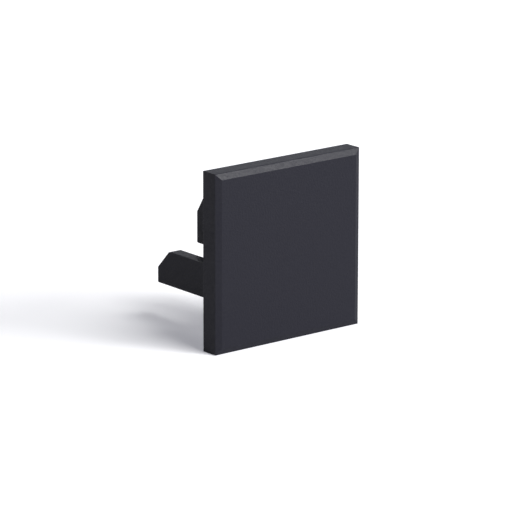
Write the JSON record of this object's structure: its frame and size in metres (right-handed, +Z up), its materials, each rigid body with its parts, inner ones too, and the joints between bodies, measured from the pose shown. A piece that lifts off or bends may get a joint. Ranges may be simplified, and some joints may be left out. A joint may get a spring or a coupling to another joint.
{
  "type": "profile end cap",
  "caption": "Square cover plate with a shallow bevel round its face and ramped pegs behind it, pressed into the open end of a profile.",
  "frame": {"origin": "on the seat, the back face of the plate, where the profile's long axis meets it", "axes": "+Y out of the seat along the pegs, into the profile; -Y out of the show face; +Z up, towards the side on which the pegs have their ramps; +X to the right, seen from the front"},
  "size_m": [0.02, 0.0153, 0.02],
  "materials": {
    "cap_plastic": "fine moulded grain, near-black with a cool cast"
  },
  "bodies": {
    "root": {"end_cap": "cap_plastic"}
  },
  "joints": []
}
